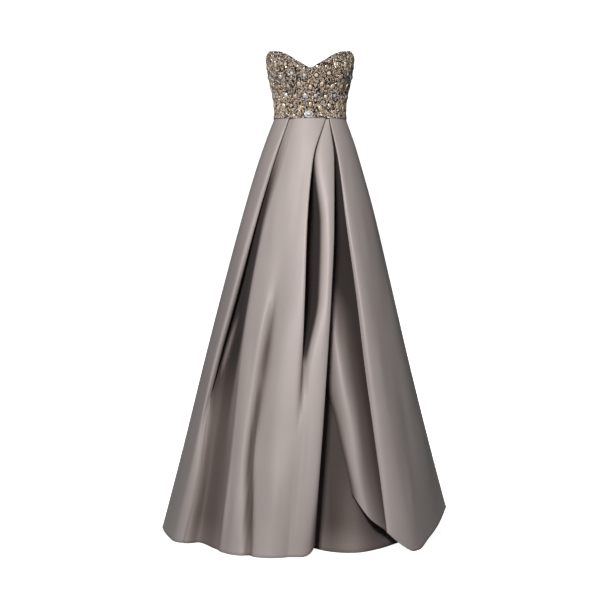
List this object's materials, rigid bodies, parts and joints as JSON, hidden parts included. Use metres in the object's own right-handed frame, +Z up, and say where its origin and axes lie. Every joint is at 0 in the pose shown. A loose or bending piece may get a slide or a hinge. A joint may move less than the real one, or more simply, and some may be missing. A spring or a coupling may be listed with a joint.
{
  "type": "strapless gown",
  "caption": "Strapless floor-length gown in its worn form: beaded sweetheart bodice and a pleated, flared satin skirt with an overlapping front slit.",
  "frame": {"origin": "centre of the waist seam, where the wearer's waist holds the gown", "axes": "+Z up along the wearer, -Y to the front of the gown, +X to the right of someone looking at its front"},
  "size_m": [0.8284, 0.8887, 1.3772],
  "materials": {
    "satin": "satin",
    "beaded_bodice": "beaded",
    "crystal": "faceted",
    "zip_metal": "satin"
  },
  "bodies": {
    "gown": {"bodice_front_centre": "beaded_bodice", "bodice_front_left": "beaded_bodice", "bodice_front_right": "beaded_bodice", "bodice_back_left": "beaded_bodice", "bodice_back_right": "beaded_bodice", "waist_medallion": "crystal", "skirt_front": "satin", "skirt_overlay_right": "satin", "skirt_underlay": "satin", "skirt_back_left": "satin", "skirt_back_right": "satin", "zip_slider": "zip_metal"},
    "zip_tab": {"zip_pull": "zip_metal"}
  },
  "joints": [
    {"name": "zip_tab_swing", "type": "hinge", "parent": "gown", "child": "zip_tab", "pos_m": [0, 0.10344, 0.134], "axis": [1, 0, 0], "range_deg": [0, 150]}
  ]
}
